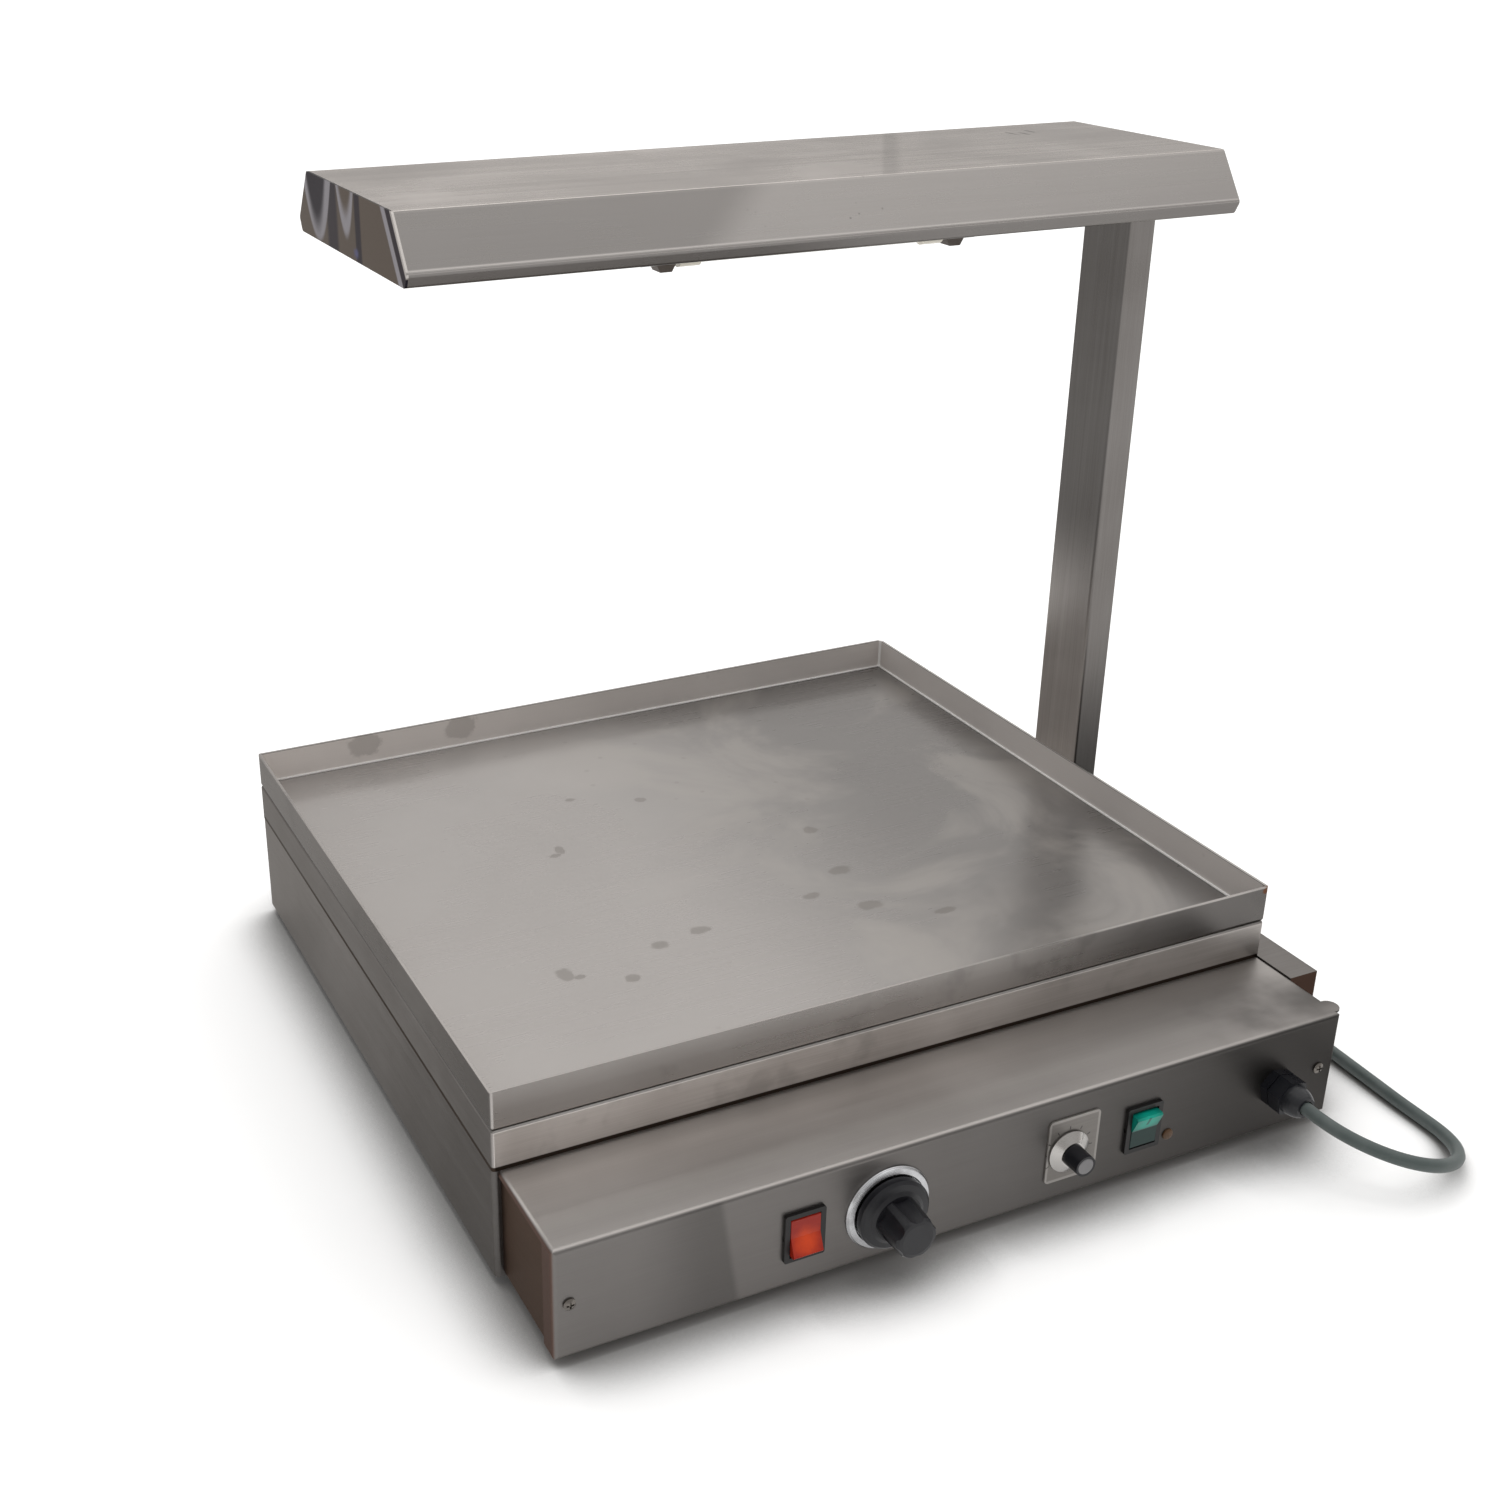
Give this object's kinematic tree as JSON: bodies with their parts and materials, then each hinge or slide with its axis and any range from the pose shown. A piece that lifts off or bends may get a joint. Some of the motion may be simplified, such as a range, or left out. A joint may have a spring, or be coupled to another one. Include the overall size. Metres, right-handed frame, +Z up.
{
  "type": "heat lamp warming tray",
  "caption": "Countertop food warmer: heated stainless tray on a folded base with front controls, under a lamp hood carried by a post at the right.",
  "frame": {"origin": "centre of the footprint, on the surface that the feet stand on", "axes": "+X to the right along the front panel, +Y to the back, +Z up"},
  "size_m": [0.5587, 0.7197, 0.53],
  "materials": {
    "tray_steel": "satin stainless, lightly stained",
    "housing_steel": "brushed stainless",
    "base_steel": "brushed stainless",
    "panel_steel": "brushed stainless",
    "hood_steel": "brushed stainless",
    "post_steel": "brushed stainless tube",
    "galvanised_steel": "galvanised sheet",
    "screw_steel": "plated",
    "foot_rubber": "matt",
    "spreader_aluminium": "mill finish",
    "element_sheath": "oxidised alloy sheath",
    "mineral_wool": "compressed wool",
    "thermostat_plastic": "moulded",
    "reflector_aluminium": "bright rolled",
    "quartz_glass": "frosted quartz",
    "filament_wire": "resistance wire",
    "lamp_ceramic": "glazed ceramic",
    "holder_ceramic": "dark ceramic",
    "wire_sleeve": "glass fibre sleeve",
    "wire_insulation": "extruded",
    "black_phenolic": "moulded",
    "knob_plastic": "moulded",
    "bezel_aluminium": "spun and brushed",
    "scale_plate": "printed plate",
    "circuit_board": "board with parts",
    "red_rocker": "translucent",
    "green_rocker": "translucent",
    "indicator": "moulded",
    "gland_nylon": "moulded",
    "seal_rubber": "matt",
    "block_plastic": "moulded",
    "shaft_brass": "turned",
    "cord_rubber": "matt",
    "plug_plastic": "moulded",
    "pin_brass": "bright"
  },
  "bodies": {
    "base": {"base_chassis": "base_steel", "base_cover": "galvanised_steel", "base_cover_screws": "screw_steel", "feet": "foot_rubber", "foot_screws": "screw_steel", "control_box": "base_steel", "control_cover": "panel_steel", "cover_screws": "screw_steel", "plate_housing": "housing_steel", "heat_spreader": "spreader_aluminium", "heating_element": "element_sheath", "element_clamps": "galvanised_steel", "insulation_pad": "mineral_wool", "heat_shield": "galvanised_steel", "shield_studs": "screw_steel", "thermal_cutout": "thermostat_plastic", "side_duct": "base_steel", "post": "post_steel", "post_bolts": "screw_steel", "hood_shell": "hood_steel", "hood_end_left": "hood_steel", "hood_end_right": "hood_steel", "hood_bracket": "galvanised_steel", "hood_bolts": "screw_steel", "reflector": "reflector_aluminium", "lamp_tubes": "quartz_glass", "lamp_filaments": "filament_wire", "lamp_caps": "lamp_ceramic", "lamp_holders": "holder_ceramic", "holder_brackets": "galvanised_steel", "lamp_terminal_block": "lamp_ceramic", "lamp_wiring": "wire_sleeve", "mains_wiring": "wire_insulation", "regulator_body": "black_phenolic", "regulator_bezel": "bezel_aluminium", "dimmer_module": "circuit_board", "dimmer_plate": "scale_plate", "control_nuts": "screw_steel", "red_switch_body": "black_phenolic", "green_switch_body": "black_phenolic", "indicator_lens": "indicator", "gland_body": "gland_nylon", "gland_locknut": "gland_nylon", "gland_seal": "seal_rubber", "gland_nut": "gland_nylon", "terminal_block": "block_plastic", "cord_lead": "cord_rubber", "cord_coil": "cord_rubber", "cord_tail": "cord_rubber", "plug_body": "plug_plastic", "plug_pins": "pin_brass"},
    "tray": {"tray": "tray_steel"},
    "regulator_control": {"regulator_knob": "knob_plastic", "regulator_shaft": "shaft_brass"},
    "dimmer_control": {"dimmer_knob": "knob_plastic", "dimmer_skirt": "bezel_aluminium", "dimmer_knob_cap": "bezel_aluminium", "dimmer_shaft": "shaft_brass"},
    "red_rocker": {"red_rocker": "red_rocker"},
    "green_rocker": {"green_rocker": "green_rocker"}
  },
  "joints": [
    {"name": "tray_lift", "type": "slide", "parent": "base", "child": "tray", "axis": [0, 0, 1], "range_m": [0, 0.1]},
    {"name": "regulator_turn", "type": "hinge", "parent": "base", "child": "regulator_control", "pos_m": [-0.067, -0.24, 0.038], "axis": [0, 1, 0], "range_deg": [0, 300]},
    {"name": "dimmer_turn", "type": "hinge", "parent": "base", "child": "dimmer_control", "pos_m": [0.0485, -0.24, 0.038], "axis": [0, 1, 0], "range_deg": [0, 270]},
    {"name": "red_rocker_tilt", "type": "hinge", "parent": "base", "child": "red_rocker", "pos_m": [-0.1175, -0.24, 0.038], "axis": [1, 0, 0], "range_deg": [0, 24]},
    {"name": "green_rocker_tilt", "type": "hinge", "parent": "base", "child": "green_rocker", "pos_m": [0.0995, -0.24, 0.038], "axis": [1, 0, 0], "range_deg": [-24, 0]}
  ]
}
